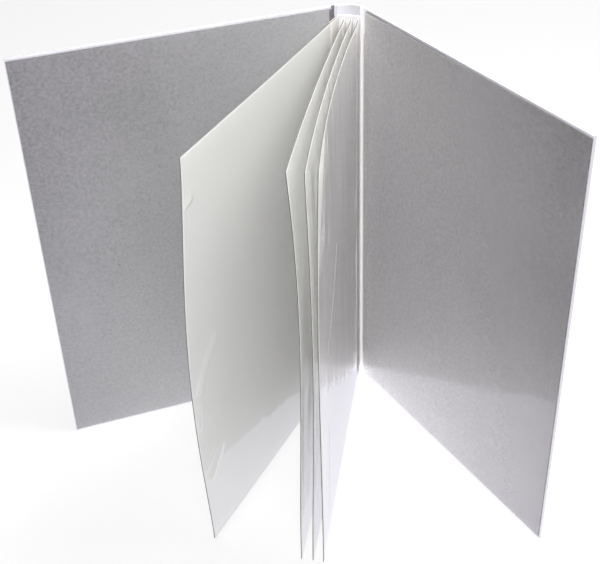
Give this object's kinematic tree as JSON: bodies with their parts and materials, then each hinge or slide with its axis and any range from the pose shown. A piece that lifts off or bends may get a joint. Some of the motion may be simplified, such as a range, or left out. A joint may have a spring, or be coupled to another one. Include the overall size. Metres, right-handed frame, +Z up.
{
  "type": "photo album",
  "caption": "Upright self-adhesive photo album standing fanned open: rounded flexible spine, hinged covers, stiff leaves on creased strips, clear films that lift from their seams.",
  "frame": {"origin": "middle of the spine's foot, on the surface that the album stands on", "axes": "+Z up the spine, -Y the side that the covers and leaves open towards, +X to the viewer's right"},
  "size_m": [0.3524, 0.2098, 0.307],
  "materials": {
    "wrap": "smooth white laminated paper, satin",
    "greyboard": "grey board, matte",
    "page_card": "pale grey card with a tacky coat, matte",
    "panel": "grey card with a tacky coat, matte",
    "cloth": "open-weave lining cloth, matte",
    "strip_paper": "white paper, matte",
    "film": "clear polypropylene film, glossy"
  },
  "bodies": {
    "spine": {"spine_wrap": "wrap", "spine_liner": "greyboard", "spine_mull": "cloth", "leaf_guard_1": "strip_paper", "leaf_guard_2": "strip_paper", "leaf_guard_3": "strip_paper", "leaf_guard_4": "strip_paper", "spacer_1": "page_card", "spacer_2": "page_card", "spacer_3": "page_card", "spacer_4": "page_card", "spacer_5": "page_card"},
    "front_cover": {"front_cover_wrap": "wrap", "front_cover_board": "greyboard", "front_cover_joint_lining": "cloth", "front_cover_panel": "panel"},
    "front_cover_film": {"front_cover_film": "film"},
    "back_cover": {"back_cover_wrap": "wrap", "back_cover_board": "greyboard", "back_cover_joint_lining": "cloth", "back_cover_panel": "panel"},
    "back_cover_film": {"back_cover_film": "film"},
    "leaf_1": {"leaf_1_card": "page_card", "leaf_1_hinge_strip": "strip_paper"},
    "leaf_1_film_left": {"leaf_1_film_left": "film"},
    "leaf_1_film_right": {"leaf_1_film_right": "film"},
    "leaf_2": {"leaf_2_card": "page_card", "leaf_2_hinge_strip": "strip_paper", "leaf_2_film_right": "film"},
    "leaf_2_film_left": {"leaf_2_film_left": "film"},
    "leaf_3": {"leaf_3_card": "page_card", "leaf_3_hinge_strip": "strip_paper", "leaf_3_film_left": "film", "leaf_3_film_right": "film"},
    "leaf_4": {"leaf_4_card": "page_card", "leaf_4_hinge_strip": "strip_paper", "leaf_4_film_left": "film"},
    "leaf_4_film_right": {"leaf_4_film_right": "film"}
  },
  "joints": [
    {"name": "front_cover_hinge", "type": "hinge", "parent": "spine", "child": "front_cover", "pos_m": [-0.01, -0.00205, 0], "axis": [0, 0, 1], "range_deg": [-31, 38]},
    {"name": "back_cover_hinge", "type": "hinge", "parent": "spine", "child": "back_cover", "pos_m": [0.01, -0.00205, 0], "axis": [0, 0, 1], "range_deg": [-32, 46]},
    {"name": "leaf_1_hinge", "type": "hinge", "parent": "spine", "child": "leaf_1", "pos_m": [-0.0069, -0.00505, 0], "axis": [0, 0, 1], "range_deg": [-40, 13]},
    {"name": "leaf_2_hinge", "type": "hinge", "parent": "spine", "child": "leaf_2", "pos_m": [-0.0023, -0.00505, 0], "axis": [0, 0, 1], "range_deg": [-14, 0]},
    {"name": "leaf_3_hinge", "type": "hinge", "parent": "spine", "child": "leaf_3", "pos_m": [0.0023, -0.00505, 0], "axis": [0, 0, 1], "range_deg": [0, 18]},
    {"name": "leaf_4_hinge", "type": "hinge", "parent": "spine", "child": "leaf_4", "pos_m": [0.0069, -0.00505, 0], "axis": [0, 0, 1], "range_deg": [0, 36]},
    {"name": "front_film_seam", "type": "hinge", "parent": "front_cover", "child": "front_cover_film", "pos_m": [-0.01233, -0.00688, 0], "axis": [0, 0, 1], "range_deg": [0, 13]},
    {"name": "back_film_seam", "type": "hinge", "parent": "back_cover", "child": "back_cover_film", "pos_m": [0.01099, -0.00732, 0], "axis": [0, 0, -1], "range_deg": [0, 22]},
    {"name": "leaf_1_left_seam", "type": "hinge", "parent": "leaf_1", "child": "leaf_1_film_left", "pos_m": [-0.011, -0.01741, 0], "axis": [0, 0, 1], "range_deg": [-28, 0]},
    {"name": "leaf_1_right_seam", "type": "hinge", "parent": "leaf_1", "child": "leaf_1_film_right", "pos_m": [-0.0094, -0.01783, 0], "axis": [0, 0, -1], "range_deg": [-13, 0]},
    {"name": "leaf_2_left_seam", "type": "hinge", "parent": "leaf_2", "child": "leaf_2_film_left", "pos_m": [-0.00276, -0.01807, 0], "axis": [0, 0, 1], "range_deg": [-13, 0]},
    {"name": "leaf_4_right_seam", "type": "hinge", "parent": "leaf_4", "child": "leaf_4_film_right", "pos_m": [0.00845, -0.01798, 0], "axis": [0, 0, 1], "range_deg": [0, 22]}
  ],
  "couplings": [
    {"joint": "leaf_3_hinge", "follows": "leaf_4_hinge", "ratio": 0.5}
  ]
}
